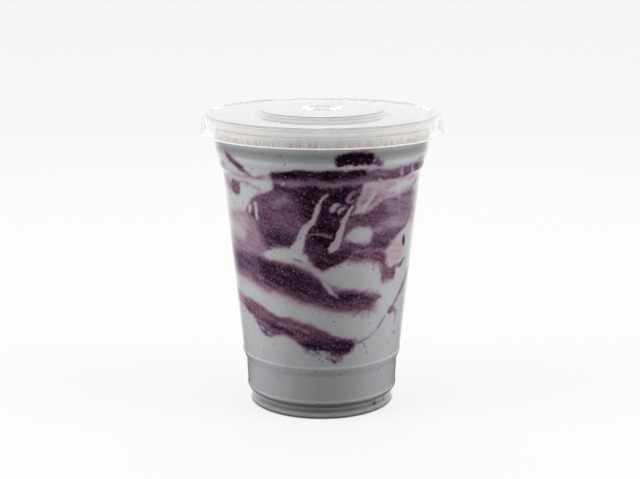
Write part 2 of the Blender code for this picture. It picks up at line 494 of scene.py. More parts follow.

# Among the berry marks are painted glints: white marks that stand in for highlights.
# Berry marks, in the order that they lie on one another. Each has its strength of berry, how
# red it is, how soft its edge is in millimetres, and its points: degrees round from the front,
# towards the right, and height in millimetres. Points of two numbers are the shore of a pool.
# Points of three run along a streak, and the third is half its width there. The degrees count
# as millimetres at a mean radius
MEAN_RADIUS = 38.5
BERRY_MARKS_AND_GLINTS = (
    # left side, pink haze between the upper field and the middle band
    (0.34, 0.9, 3.5, ((-90, 88), (-66, 87), (-52, 88.5), (-44, 91), (-38, 86), (-36, 76), (-42, 71),
        (-60, 70), (-90, 70))),
    (0.49, 0.8, 3.2, ((-90, 74), (-66, 75), (-54, 77), (-48, 82), (-44, 87), (-36, 84), (-34, 76),
        (-38, 70), (-60, 69), (-90, 69))),
    (0.42, 0.9, 1.6, ((-72, 86.4, 0.5), (-60, 86.6, 0.9), (-50, 88, 1.2))),
    (0.10, 0.7, 2.4, ((-86, 80, 2.2), (-70, 80.4, 2.8), (-60, 80.4, 2.0), (-55, 79.4, 0.8))),
    (0.51, 0.85, 3.6, ((-49, 88), (-42, 91), (-34, 86), (-35, 75), (-44, 73), (-49, 80))),
    # middle band: reddish puree, a bluish layer over it at the left and its dark heart
    (0.56, 0.95, 2.6, ((-90, 70), (-60, 71), (-45, 71), (-38, 70), (-30, 69.8), (-20, 69), (-12, 67.6),
        (-5, 66.1), (2, 62.3), (8, 60), (12, 59.4), (18, 58.2), (25, 57), (33, 55.6), (38, 54), (40, 51),
        (38, 48), (31, 46.2), (22, 46.3), (14, 47.2), (5, 48.9), (-5, 50.6), (-15, 52), (-25, 53.5),
        (-35, 55.2), (-45, 56.8), (-58, 58.4), (-70, 59.4), (-90, 61))),
    (0.76, 0.9, 2.0, ((-50, 61), (-36, 60.4), (-22, 58), (-8, 55.2), (6, 52.4), (20, 50), (34, 49.4),
        (30, 48.6), (18, 49), (4, 51.2), (-10, 53.4), (-24, 55.4), (-38, 57.6), (-50, 59))),
    (0.74, 0.15, 2.0, ((-90, 70), (-60, 71), (-45, 71), (-30, 69.4), (-26, 62.5), (-42, 61.5), (-58, 62.2),
        (-90, 63.4))),
    (0.91, 0.45, 2.4, ((-42, 68.8), (-34, 69.2), (-26, 69), (-16, 68.2), (-8, 66.3), (0, 63), (3, 60),
        (8, 58.8), (16, 57.8), (26, 56.4), (34, 54.8), (37, 52.4), (31, 50.6), (20, 50.6), (10, 52),
        (0, 53.6), (-10, 55), (-20, 56.6), (-30, 58.2), (-40, 61.4))),
    (0.80, 0.4, 1.2, ((14, 52.5, 1.2), (24, 53.5, 1.4), (33, 53, 1.0))),
    (0.72, 0.3, 0.6, ((36, 53.8, 1.0), (42.5, 53.5, 0.6))),
    (0.46, 0.8, 0.5, ((21, 48, 0.5), (21.4, 45, 0.3))),
    (0.46, 0.8, 0.5, ((26, 47.6, 0.6), (26.6, 44.4, 0.3))),
    (0.46, 0.8, 0.5, ((31, 47.4, 0.6), (31.8, 44.2, 0.3))),
    (0.40, 0.8, 0.7, ((36.4, 49, 0.6), (38, 46.2, 0.4))),
    # upper field, and how it deepens and thins
    (0.74, 0.55, 1.3, ((-29, 104.5), (-27.5, 107), (-20, 108.4), (-14, 109), (8, 109.3), (22, 109.3),
        (34, 109.3), (44, 109), (56, 108.8), (64, 108), (74, 107.4), (88, 107.4), (100, 106.6), (88, 104.8),
        (74, 104.6), (60, 104.2), (48, 103.6), (40, 103.4), (30, 103), (24.5, 102.6), (22.5, 98), (21, 93),
        (19, 90.8), (24, 90.6), (28, 91.8), (33, 94), (41, 95.4), (50, 96), (54, 97.4), (62, 97.6),
        (68, 95.8), (72, 92), (69, 86), (63, 81.5), (57, 79.8), (51, 78), (46, 75.2), (42, 74), (34, 74.5),
        (26, 75), (18, 74.8), (12, 71), (4, 66.6), (-2, 67.2), (-6, 70), (-9, 74), (-14, 74), (-20, 76),
        (-28, 76), (-35, 74.6), (-38, 78), (-39.5, 82), (-42, 86.6), (-48.6, 88.6), (-49, 91), (-46, 93.4),
        (-42, 95.2), (-39, 97.4), (-30, 99.4), (-28.3, 101))),
    (0.75, 0.8, 3.0, ((-36, 92.5), (-22, 94), (-14, 91), (-14, 85), (-24, 84), (-36, 86))),
    (0.84, 0.25, 3.2, ((-37, 82), (-30, 84), (-18, 82), (-14, 79), (-20, 76), (-30, 76), (-36, 76))),
    (0.88, 0.5, 1.4, ((-26, 100.8, 1.4), (-12, 101, 1.6), (10, 101.2, 1.4), (20, 101.2, 1.0))),
    (0.60, 0.5, 1.8, ((-48, 90.4, 0.8), (-43, 92.6, 1.0), (-38, 94, 1.0))),
    (0.52, 0.3, 1.8, ((-26, 94.2, 0.9), (-21, 96, 1.2))),
    (0.96, 0.5, 2.8, ((-16, 101.5), (0, 102), (20, 101.8), (22, 99), (16, 96), (14, 90), (11, 84), (8, 79),
        (4, 74), (10, 70), (2, 67.5), (-4, 70), (-8, 76), (-7, 82), (-8, 88), (-14, 95))),
    (0.60, 0.2, 2.4, ((38, 95), (50, 96), (60, 97), (68, 95), (66, 88), (58, 86.6), (46, 87.4), (38, 89))),
    (0.50, 0.6, 2.8, ((44, 87), (54, 88), (64, 88), (67, 83), (58, 80.4), (48, 81), (38, 82.6), (35, 84.6),
        (38, 86.6))),
    (0.38, 0.4, 3.0, ((67, 97), (80, 97), (92, 94), (90, 84), (74, 80), (66, 82), (68, 89))),
    (0.77, 1.0, 2.0, ((17, 90.4), (24, 90.2), (32, 91.4), (39, 91), (41, 87.6), (33, 85.6), (20, 85.8),
        (15.5, 86.5))),
    (0.80, 0.15, 1.4, ((14, 76.8), (20, 76.2), (28, 75.8), (36, 75.4), (42, 74.4), (47, 75), (52, 78),
        (58, 80.2), (52, 81), (44, 80.6), (36, 79.6), (32, 77.6), (24, 77.4), (16, 77.8))),
    (0.99, 0.5, 1.0, ((-28, 106, 0.9), (-18, 107, 1.5), (-5, 107.4, 1.9), (10, 107.5, 1.9),
        (21, 107.4, 1.4))),
    (0.55, 0.6, 0.8, ((-26, 103.6, 0.6), (-10, 103.8, 0.9), (5, 103.8, 0.9), (18, 103.8, 0.8),
        (32, 104, 0.7))),
    (0.66, 0.2, 1.0, ((26, 107.8, 0.5), (34, 106.4, 0.6), (44, 105, 0.5))),
    (0.34, 0.4, 0.6, ((47.6, 108.8, 0.5), (49, 106, 0.7), (51.4, 103.8, 0.6))),
    # the dark blot over the ledge
    (0.50, 0.4, 1.5, ((9, 115.4, 0.6), (17, 116.9, 0.8), (25, 115.4, 0.6))),
    (0.82, 0.2, 0.9, ((24, 115.4), (29, 114), (33.5, 112), (34, 110.4), (24, 110.4))),
    (1.00, 0.5, 0.7, ((6.4, 112.5), (7.4, 114.6), (11, 115.8), (17, 116.4), (22, 115.8), (26.5, 114.6),
        (27, 110.8), (9, 110.8))),
    # right side, over the ledge
    (0.74, 0.3, 0.9, ((52, 106.6, 1.1), (60, 106.4, 1.1), (68, 106, 0.8))),
    (0.64, 0.3, 1.3, ((56, 107), (60, 109), (66, 111), (76, 112), (86, 111), (96, 109.4), (90, 107),
        (70, 105.4))),
    (0.82, 0.4, 0.9, ((61, 106.6, 0.8), (70, 107.6, 1.2), (84, 108, 1.2))),
    (0.30, 0.4, 0.5, ((58, 109.4, 0.3), (59.4, 106, 0.5), (60.4, 104.6, 0.4))),
    # reddish veil and blots right of the middle
    (0.90, 0.7, 1.4, ((-4, 68), (-3, 72), (2, 75), (8, 76), (15, 76.4), (19, 74.6), (16, 71), (10, 68.8),
        (4, 66.8))),
    (0.75, 0.95, 2.4, ((17, 75), (26, 75.2), (36, 74.8), (42, 73.6), (45, 70), (44, 66.5), (41, 65.2),
        (37, 67.4), (32, 69), (26, 69.6), (20, 69.6), (16, 70))),
    (0.40, 0.8, 0.6, ((21, 69.6, 0.5), (21.5, 66.8, 0.3))),
    (0.46, 0.8, 0.6, ((27, 69.4, 0.6), (27.6, 66.2, 0.3))),
    (0.50, 0.8, 0.6, ((33, 68.6, 0.7), (34, 65, 0.4))),
    (0.50, 0.8, 0.6, ((38, 66.6, 0.7), (38.6, 63.4, 0.4))),
    (0.70, 0.8, 1.5, ((40.5, 68), (44, 66.8), (48, 65.4), (53, 65), (54.6, 62), (52.6, 58.6), (48, 57.4),
        (43, 57.6), (40.4, 59), (39.5, 61.5), (39.5, 65))),
    (0.80, 0.5, 0.8, ((52.6, 64.6, 0.5), (53.4, 61.4, 0.6))),
    (0.34, 0.9, 1.2, ((44, 58.5, 0.7), (50, 58.6, 0.7))),
    (0.78, 0.4, 0.6, ((40.3, 60.6, 0.6), (41.3, 58.2, 0.7))),
    (0.32, 0.95, 2.2, ((44, 72), (46, 76), (52, 78), (58, 77), (61, 72), (60, 68), (54, 66), (48, 67),
        (44.5, 69.5))),
    (0.62, 0.3, 0.7, ((53, 65.4, 0.8), (58, 65.2, 1.0), (62, 66.8, 0.7), (65, 67.8, 0.4))),
    (0.88, 0.2, 0.7, ((60.2, 77, 0.8), (61, 75.2, 1.3), (62, 73.4, 1.0))),
    # lower band
    (0.50, 1.0, 1.8, ((-90, 50.6), (-70, 51.4), (-56, 50.8), (-50, 48), (-56, 44.6), (-70, 45.6),
        (-90, 45.4))),
    (0.67, 0.95, 1.4, ((-64, 50.4), (-50, 49.8), (-40, 48), (-34, 46.6), (-28, 45.6), (-20, 45.3),
        (-12, 43.8), (-5, 42.8), (0, 41.5), (5, 39.8), (10, 38), (16, 37), (23, 36.4), (24, 34), (22, 31.5),
        (18, 30), (12, 28.5), (4, 30), (-4, 31), (-11, 31), (-16, 33.4), (-21, 35.6), (-26, 37),
        (-32, 36.4), (-38, 36), (-44, 37.6), (-49, 41), (-54, 43.4), (-62, 45.4))),
    (0.78, 0.9, 2.2, ((-40, 44.6), (-34, 45), (-26, 44.4), (-14, 43), (-4, 41.6), (4, 39), (10, 37),
        (12, 34), (0, 33), (-12, 34), (-22, 37), (-32, 38), (-40, 40.6))),
    (0.90, 0.6, 0.9, ((-36, 41, 0.6), (-28, 40.4, 1.0), (-20, 38.6, 0.7))),
    (0.58, 0.9, 0.8, ((-30, 43, 0.4), (-18, 41.4, 0.7), (-8, 39.4, 0.4))),
    (0.91, 0.2, 1.8, ((-16, 34.6), (-6, 36), (2, 35.4), (8, 36.4), (15, 36.6), (22, 35.8), (22, 33),
        (18, 30.6), (12, 29.4), (6, 29.8), (-2, 31.2), (-10, 31.2))),
    (0.74, 0.0, 0.8, ((-50, 41.6), (-44, 40.8), (-38, 39), (-33, 37), (-36, 35.6), (-42, 36.2),
        (-47, 38.8))),
    (0.44, 0.0, 0.8, ((-13, 30.8, 0.5), (-6, 29.6, 0.8), (-1, 29.2, 0.7))),
    (0.62, 0.0, 0.8, ((3, 28.6, 0.8), (8, 26.9, 1.2), (13, 27.8, 1.0))),
    (0.84, 0.1, 0.4, ((5.6, 27.6, 0.4), (8.2, 26.4, 0.6))),
    (0.80, 0.1, 0.4, ((-4.6, 30.2, 0.4), (-2.8, 29.6, 0.4))),
    (0.16, 0.0, 0.4, ((-9.4, 31.6, 0.4), (-7.6, 31.2, 0.4))),
    (0.20, 0.0, 0.4, ((-1.6, 30.8, 0.4), (0.6, 30.4, 0.5))),
    (0.26, 0.0, 0.4, ((2.6, 29.6, 0.3), (4.4, 29.8, 0.5))),
    (0.24, 0.0, 0.4, ((-38.6, 37.6, 0.4), (-36.6, 36.9, 0.4))),
    (0.20, 0.0, 0.4, ((-45.4, 39.8, 0.4), (-43.4, 38.9, 0.4))),
    (0.34, 0.5, 0.5, ((21, 30.8, 0.5), (20.4, 32.4, 0.5))),
    (0.50, 0.5, 0.7, ((22, 35.6, 0.9), (26, 34.3, 1.0), (30, 34.5, 0.8), (35, 35.7, 0.5))),
    (0.52, 0.3, 0.8, ((35, 35.8, 0.4), (40, 38.4, 0.5), (44, 41.6, 0.5), (47, 43.8, 0.6))),
    (0.56, 0.3, 1.2, ((50, 45.4, 0.8), (56, 48, 1.1), (61, 50.8, 1.3), (67, 54.6, 1.5), (72, 57.6, 1.8),
        (78, 60.6, 1.8), (90, 64, 2.2))),
    (0.74, 0.3, 0.9, ((51.4, 45, 1.0), (55, 45.4, 1.0))),
    (0.50, 0.2, 0.9, ((55, 45.4, 1.0), (59, 44, 1.0), (61.6, 41.4, 0.7))),
    # painted glint: a white mark stands in for a highlight
    (0.00, 0.0, 0.3, ((57.4, 37.6, 0.4), (58.6, 39.4, 0.6), (58.2, 41, 0.4))),
    (0.80, 0.1, 0.4, ((59.6, 37.8, 0.3), (60.8, 39.6, 0.5))),
    (0.44, 0.1, 0.8, ((59, 34, 0.7), (63, 34.3, 0.6))),
    # left side, over the ledge
    (0.50, 0.3, 1.4, ((-78, 107.6), (-72, 109.4), (-67, 109), (-67, 106), (-71, 104.6), (-78, 105))),
    (0.60, 0.45, 1.4, ((-62, 113, 0.6), (-58, 111.4, 1.3), (-53, 109.6, 1.6), (-48, 108, 1.3))),
    (0.80, 0.45, 0.7, ((-61, 112, 0.5), (-57, 110.8, 0.9), (-54.6, 110.2, 0.4), (-52, 109, 1.3),
        (-48, 107.6, 1.2), (-44, 106.2, 0.7), (-41, 105.4, 0.3))),
    (0.52, 0.85, 0.7, ((-46, 104.8, 0.4), (-38, 104.9, 0.6), (-29, 105.6, 0.7))),
    (0.24, 0.6, 1.6, ((-78, 103.8, 0.8), (-60, 104, 1.0), (-44, 103.6, 0.8))),
    (0.44, 0.3, 1.6, ((-84, 102.5), (-66, 102), (-62, 98), (-66, 95), (-72, 97), (-84, 99.4))),
    (0.68, 0.55, 0.9, ((-62.4, 101.6), (-57, 101.9), (-52.6, 101.8), (-51.6, 99.4), (-53.6, 97),
        (-58, 95.3), (-62, 95.6), (-64, 98))),
    (0.46, 0.8, 1.1, ((-51, 101.4, 0.6), (-44, 100.6, 0.9), (-37, 99.4, 0.8))),
    (0.22, 0.1, 0.8, ((-82, 90.5, 0.8), (-72, 87.8, 0.6))),
    # yogurt streaks over the berry, and painted glints
    (0.14, 0.6, 0.5, ((2, 99.2, 0.3), (-0.5, 95.5, 0.6), (-2.5, 92, 0.9), (-4.5, 89, 1.0), (-7.5, 86, 1.0),
        (-10.5, 82.5, 1.3))),
    (0.04, 0.5, 0.7, ((-9.5, 83.5, 1.1), (-12.5, 79.5, 1.9), (-15.5, 75.8, 2.6))),
    (0.02, 0.5, 0.7, ((-39.5, 72.2), (-35, 74), (-29, 74.8), (-22, 75), (-17, 75), (-12, 73.4), (-13, 71.4),
        (-20, 70.6), (-28, 70.3), (-35, 70.7))),
    (0.30, 0.4, 0.7, ((-16, 71.4, 0.7), (-10, 69.9, 1.0), (-5, 68.3, 1.0), (0, 65.8, 1.1), (3, 64.4, 0.9))),
    (0.72, 0.5, 0.4, ((-17, 71.5, 0.35), (-13, 70.8, 0.5))),
    (0.03, 0.5, 1.2, ((-1, 65.4), (3, 66.4), (8, 67.4), (14, 68.2), (20, 68.6), (26, 68.4), (31, 67.6),
        (35, 65.6), (38, 63.4), (39.6, 60.5), (42, 57.4), (48, 56.4), (44, 55.6), (38, 56), (34, 57),
        (28, 58), (20, 59), (13, 60.2), (8, 61.6), (3, 63.2))),
    (0.16, 0.5, 0.5, ((17.5, 94, 0.4), (15.5, 91.5, 0.8), (13, 88, 1.0), (11, 84.5, 1.1), (9, 81, 1.5),
        (7.3, 78, 1.8), (5, 75.9, 1.2))),
    (0.40, 0.6, 1.4, ((31, 82, 1.2), (37, 82.6, 0.7))),
    (0.05, 0.5, 1.3, ((13.4, 80), (15, 82.5), (19, 84.2), (24, 84.7), (29, 84.1), (32, 82.4), (32.5, 80),
        (29.5, 78.3), (24, 77.8), (18, 78.3))),
    (0.84, 0.2, 0.6, ((15.4, 77.9, 0.8), (19, 77.2, 0.6))),
    (0.56, 0.75, 1.8, ((23, 97), (26, 101), (33, 102.2), (42, 102.6), (52, 103), (60, 102.6), (70, 101.4),
        (78, 100), (68, 98), (54, 97.8), (48, 96.8), (40, 96), (34, 94.6), (28, 92.5), (23, 91.2),
        (22.6, 94))),
    (0.36, 0.5, 1.6, ((29, 99.6), (34, 102), (50, 102.8), (66, 102), (76, 100.6), (66, 98.8), (48, 97.8),
        (36, 97))),
    (0.30, 0.5, 1.2, ((26.5, 97.4, 0.8), (30, 100.4, 1.0), (36, 101.8, 0.8))),
    (0.02, 0.5, 0.8, ((40, 98.6), (48, 101.4), (58, 102), (68, 101), (60, 99), (48, 98.2))),
    (0.06, 0.5, 0.6, ((24, 91.6, 0.5), (25.4, 93.4, 0.9), (28, 96, 0.7), (31, 98.4, 0.4))),
    (0.40, 0.4, 0.5, ((52, 99.6, 0.3), (51, 96, 0.5), (51.6, 93.4, 0.3))),
    (0.44, 0.4, 0.6, ((64, 99, 0.4), (65, 93, 0.6), (64, 88, 0.4))),
    (0.30, 0.0, 0.6, ((8, 94.6, 0.6), (6, 92.6, 1.0), (5, 91, 0.6))),
    (0.34, 0.2, 0.5, ((13, 93.2, 0.3), (10.5, 92.2, 0.6), (8.6, 90.6, 0.4))),
    (0.52, 0.7, 0.6, ((20.5, 100.6, 0.4), (16.5, 99.4, 0.6), (13.6, 97.4, 0.7), (13.4, 95.9, 0.4),
        (16, 95.9, 0.4), (19.5, 97, 0.3))),
    (0.84, 0.0, 1.2, ((-8, 78), (-3, 79.6), (1, 78), (0, 74.6), (-4, 72.6), (-8.6, 73.4))),
    # painted glints: small white marks along the ledge and on the dark band stand in for highlights
    (0.00, 0.3, 0.3, ((10.4, 110.3, 0.4), (12.2, 110.5, 0.5))),
    (0.00, 0.3, 0.3, ((14.6, 110.6, 0.5), (15.4, 110.9, 0.4))),
    (0.00, 0.3, 0.3, ((18.6, 110.4, 0.5), (20.6, 110.6, 0.4))),
    (0.16, 0.3, 0.3, ((31.4, 112.6, 0.4), (32.4, 113.6, 0.4))),
    (0.16, 0.3, 0.3, ((27.4, 112.2, 0.4), (28.2, 113.0, 0.3))),
    (0.10, 0.3, 0.3, ((-21.8, 102.8, 0.5), (-21.2, 103.4, 0.4))),
    (0.16, 0.3, 0.3, ((33, 104.2, 0.4), (36, 103.6, 0.4))),
    (0.10, 0.3, 0.3, ((46, 102.4, 0.4), (49.5, 101.6, 0.5))),
    (0.56, 0.4, 0.5, ((-6.5, 81.5, 0.4), (-1, 82, 0.5), (4, 81.6, 0.4))),
    (0.22, 0.7, 0.7, ((1.4, 63, 0.4), (3, 60, 1.1), (6, 57.4, 1.3), (9.5, 55.6, 0.7))),
    # painted glints: two white marks stand in for highlights on the wet wall
    (0.00, 0.0, 0.4, ((-46.7, 89.2, 0.6), (-46.2, 91.4, 0.8))),
    (0.00, 0.0, 0.4, ((-40.8, 93, 0.5), (-41, 90.6, 0.8), (-40.2, 87, 0.6))),
    # specks near the foot
    (0.74, 0.2, 0.6, ((44, 4.6, 0.7), (47, 3.6, 1.1))),
    (0.80, 0.2, 0.6, ((58, 6.0, 0.7), (59.5, 4.8, 1.1), (60.5, 3.6, 0.8))),
    # back: the bands run on round from side to side, with their own sweeps
    (0.62, 0.9, 2.2, ((86, 66), (105, 72), (125, 76), (150, 77), (180, 75), (210, 73), (235, 72), (262, 71),
        (280, 70.5), (280, 61), (255, 58), (230, 57), (205, 56), (180, 58), (155, 62), (130, 63.5),
        (110, 63), (90, 61.5))),
    (0.88, 0.4, 1.9, ((118, 71), (140, 74), (170, 73), (205, 70), (240, 69), (262, 68.6), (258, 63),
        (235, 61.5), (205, 61), (175, 64), (145, 68), (122, 68))),
    (0.70, 0.5, 1.4, ((93, 102), (106, 105), (120, 106), (150, 105), (182, 107), (215, 106), (250, 104),
        (268, 102), (262, 95), (240, 88), (218, 84), (200, 86), (180, 84), (158, 82), (135, 86), (112, 92),
        (103, 97.6))),
    (0.93, 0.4, 2.2, ((125, 103), (150, 103.5), (182, 105), (212, 103.5), (238, 100), (228, 93), (206, 90),
        (182, 92), (158, 88), (138, 93))),
    (0.62, 0.9, 1.4, ((276, 51.5), (262, 54), (240, 55), (215, 52), (190, 46), (168, 41), (150, 38),
        (132, 36), (140, 33), (160, 31), (185, 35), (210, 41), (235, 46), (258, 46.5), (276, 44.5))),
    (0.90, 0.3, 1.4, ((158, 36, 1.8), (178, 39, 2.6), (200, 43.5, 2.4), (222, 48.5, 1.6))),
    (0.50, 0.3, 0.7, ((132, 35, 0.8), (120, 38, 0.6), (110, 43, 0.6), (104, 49, 0.7), (100, 55, 1.0),
        (96, 61, 1.2))),
    (0.06, 0.5, 0.6, ((128, 99, 0.4), (140, 94, 1.2), (152, 87, 1.6), (160, 80, 1.8), (164, 74, 0.8))),
    (0.10, 0.5, 0.7, ((250, 94, 0.4), (236, 97.4, 1.1), (218, 98.2, 1.5), (200, 95, 1.2),
        (186, 89.6, 0.5))),
    (0.05, 0.5, 1.0, ((232, 91), (240, 93.4), (250, 93), (254, 90.4), (248, 88.4), (238, 88.6))),
    (0.12, 0.6, 0.7, ((236, 64.6, 0.4), (222, 66.4, 1.2), (208, 65, 1.1), (196, 61, 0.5))),
)
# Flecks of puree on the top: strength, redness, place to the right and to the back, and radius
TOP_FLECKS = (
    (0.66, 0.8, 27.5, 2.0, 1.6),
    (0.52, 0.8, 25.0, 3.4, 1.2),
    (0.58, 0.8, 32.6, -2.6, 1.1),
    (0.34, 0.8, 22.0, -8.0, 2.6),
    (0.30, 0.6, 12.0, -14.0, 3.4),
    (0.40, 0.2, -22.8, -7.4, 2.6),
    (0.28, 0.4, -18.0, 12.0, 3.0),
    (0.26, 0.7, 8.0, 18.0, 3.2),
)
FLECK_SOFTNESS = 1.0
# The marks' edges wander by waves of these sizes and reaches in millimetres. Each wander makes
# its random draws from a start of its own, numbered from these on
WANDER_SIZES = ((16.0, 0.5), (5.0, 0.28), (1.7, 0.16))
WANDER_SPREAD = (0.7, 1.4)
DRAWS_ACROSS = 10
DRAWS_UP = 20
WAVES = 7
FAR_OFF = 1e9


def smooth_step(value):
    """Ease a share from 0 to 1."""
    share = np.clip(value, 0.0, 1.0)
    return share * share * (3.0 - 2.0 * share)


def wander(spots, size, draws):
    """A smooth uneven drift over these places, made of crossing waves of about this size."""
    chance = np.random.default_rng(draws)
    total = np.zeros(len(spots))
    for _ in range(WAVES):
        way = chance.normal(size=3)
        way /= np.linalg.norm(way)
        length = size * chance.uniform(*WANDER_SPREAD)
        total += np.sin(spots @ way * (2.0 * math.pi / length) + chance.uniform(0.0, 2.0 * math.pi))
    return total / math.sqrt(WAVES)


def nearest_share(across, height, start, end):
    """Distance from each place to a line between two points, and how far along the nearest is."""
    run, rise = end[0] - start[0], end[1] - start[1]
    share = ((across - start[0]) * run + (height - start[1]) * rise) / (run * run + rise * rise)
    share = np.clip(share, 0.0, 1.0)
    return np.hypot(across - start[0] - share * run, height - start[1] - share * rise), share


def shore_distance(across, height, corners):
    """Distance in millimetres to a closed shore, less than zero inside it."""
    nearest = np.full(across.shape, FAR_OFF)
    inside = np.zeros(across.shape, bool)
    for start, end in zip(corners, corners[1:] + corners[:1]):
        nearest = np.minimum(nearest, nearest_share(across, height, start, end)[0])
        if start[1] != end[1]:
            crosses = (start[1] > height) != (end[1] > height)
            reach = start[0] + (height - start[1]) / (end[1] - start[1]) * (end[0] - start[0])
            inside ^= crosses & (across < reach)
    return np.where(inside, -nearest, nearest)


def streak_distance(across, height, stations):
    """Distance in millimetres to the edge of a streak, less than zero inside it."""
    nearest = np.full(across.shape, FAR_OFF)
    for start, end in zip(stations, stations[1:]):
        reach, share = nearest_share(across, height, start, end)
        nearest = np.minimum(nearest, reach - (start[2] + (end[2] - start[2]) * share))
    return nearest


degrees = np.degrees(np.arctan2(places[:, 0], -places[:, 1]))
heights = places[:, 2] / MM
spots_mm = places / MM
drift_across = np.zeros(vertex_count)
drift_up = np.zeros(vertex_count)
for wander_index, (wander_size, wander_reach) in enumerate(WANDER_SIZES):
    drift_across += wander_reach * wander(spots_mm, wander_size, DRAWS_ACROSS + wander_index)
    drift_up += wander_reach * wander(spots_mm, wander_size, DRAWS_UP + wander_index)
strengths = np.zeros(vertex_count)
redness = np.full(vertex_count, 0.5)
for strength, red, softness, points in BERRY_MARKS_AND_GLINTS:
    middle = sum(point[0] for point in points) / len(points)
    near_degrees = degrees + 360.0 * np.round((middle - degrees) / 360.0)
    across = np.radians(near_degrees) * MEAN_RADIUS + drift_across
    height = heights + drift_up
    places_mm = [(math.radians(point[0]) * MEAN_RADIUS, *point[1:]) for point in points]
    if len(points[0]) == 2:
        distance = shore_distance(across, height, places_mm)
    else:
        distance = streak_distance(across, height, places_mm)
    cover = smooth_step(0.5 - distance / (2.0 * softness))
    strengths += (strength - strengths) * cover
    redness += (red - redness) * cover

for fleck_strength, fleck_red, fleck_right, fleck_back, fleck_radius in TOP_FLECKS:
    reach = np.hypot(spots_mm[:, 0] - fleck_right + drift_across, spots_mm[:, 1] - fleck_back + drift_up)
    cover = on_top * smooth_step(0.5 - (reach - fleck_radius) / (2.0 * FLECK_SOFTNESS))
    strengths += (fleck_strength - strengths) * cover
    redness += (fleck_red - redness) * cover

# The lowest part has a trace of bluish puree stirred in
TRACE = 0.085
TRACE_TOP = 44.0
TRACE_BLEND = 22.0
traced = smooth_step((TRACE_TOP - heights) / TRACE_BLEND) * (strengths < TRACE)
strengths += (TRACE - strengths) * traced
redness *= 1.0 - traced

# The upper edge is creamy and foamy. Painted shade darkens the flare under the ledge, in the
# lid skirt's shadow, the lower bands and the foot, most along its contact; painted light lightens
# the upward ledge, the step above the foot and the top. Each shade band: its height, its reach
# and how much it adds, less than zero for painted light. Each shade zone: how much it adds, its
# lower end with its blend, and its upper end with its blend. Heights are in millimetres, and -10
# is well below the foot
CREAM_FROM = 117.4
CREAM_FULL = 118.6
CREAM_INSIDE = 40.5
CREAM_BLEND = 3.0
SHADE_BASELINE = 0.15
PAINTED_SHADE_BANDS = (
    # painted light on the upward-facing ledge
    (110.9, 0.9, -0.15),
    # painted shadow of the lid's skirt on the flare
    (114.8, 1.9, 0.47),
    # painted light over the step above the foot
    (21.0, 1.5, -0.12),
)
PAINTED_SHADE_ZONES = (
    # painted shade, darker below the upper step
    (0.13, -10.0, 1.0, 22.5, 1.5),
    # painted shadow under the lower step
    (0.38, 0.6, 2.0, 7.3, 0.8),
    # painted shade, darker on the foot
    (0.13, -10.0, 1.0, 7.3, 0.8),
    # painted contact shadow along the foot's bottom edge
    (0.45, -10.0, 1.0, 1.5, 0.7),
    # painted shadow of the lid's skirt under the ledge
    (0.17, 111.8, 0.8, 114.6, 2.0),
)
cream = smooth_step((heights - CREAM_FROM) / (CREAM_FULL - CREAM_FROM))
cream *= smooth_step((radii / MM - CREAM_INSIDE) / CREAM_BLEND)
painted_shade = np.full(vertex_count, SHADE_BASELINE)
for band_height, band_reach, band_amount in PAINTED_SHADE_BANDS:
    painted_shade += band_amount * np.exp(-((heights - band_height) / band_reach) ** 2)
for zone_amount, zone_foot, foot_blend, zone_top, top_blend in PAINTED_SHADE_ZONES:
    zone = smooth_step((heights - zone_foot) / foot_blend) * smooth_step((zone_top - heights) / top_blend)
    painted_shade += zone_amount * zone
# The top gets no painted shade, so the lightest tone paints light on it
painted_shade *= 1.0 - on_top
# The attribute's channels: berry strength, redness, painted shade and cream
marbling_and_shade = yogurt.data.attributes.new("marbling_and_shade", "FLOAT_COLOR", "POINT")
marbling_and_shade.data.foreach_set(
    "color",
    np.stack([strengths, redness, np.clip(painted_shade, 0.0, 1.0), cream], axis=1).astype(np.float32).ravel(),
)

# Yogurt and puree: satin and opaque, wet against the plastic. Fine grains and stirred threads
# run through the puree, with pale specks of ice in it and dark seeds in the yogurt.
BERRY_TONES = (
    (("#D6D7D8", 0.0), ("#C8C1CC", 0.30), ("#B1A3B4", 0.45), ("#978399", 0.60), ("#79627D", 0.75),
     ("#4F3852", 0.88), ("#19081A", 1.0)),
    (("#D6D7D8", 0.0), ("#D0BEC6", 0.30), ("#BBA0AD", 0.45), ("#A58193", 0.60), ("#865D74", 0.75),
     ("#573147", 0.88), ("#1E0616", 1.0)),
)
CREAM_PALE = "#EFEAE3"
CREAM_BROWN = "#A98E75"
CREAM_TOP = 122.4 * MM
CREAM_FOOT = 118.2 * MM
CREAM_BROWNING = 1.5
IN_BERRY = (0.02, 0.35)
GRAIN_SIZE = 1.0 * MM
GRAIN_SWING = 0.46
MOTTLE_SWING = 0.22
STIR_LENGTH = 11.0 * MM
STIR_WIDTH = 1.8 * MM
STIR_SLOPE = 0.34
STIR_SWING = 0.33
# Ice and seeds lie in cells of about this spacing. A speck is full to the first share of the
# spacing and fades by the second. Only some of the ice's cells have a speck
ICE_SPACING = 1.6 * MM
ICE_EDGE = (0.10, 0.22)
ICE_COVER = 0.6
ICE_LEFT_OUT = 0.55
ICE_WHITE = "#D9CDD8"
SEED_SPACING = 4.4 * MM
SEED_EDGE = (0.08, 0.14)
SEED_COVER = 0.55
SEED_DARK = "#6A5A68"
RUN_WIDTH = 1.3 * MM
RUN_LENGTH = 9.0 * MM
RUN_EDGES = (0.35, 0.75)
# Tones that the painted shade scales the colour by, from painted light down to full painted shade
PAINTED_LIGHT_TONE = 1.12
PAINTED_SHADE_TONE = 0.3

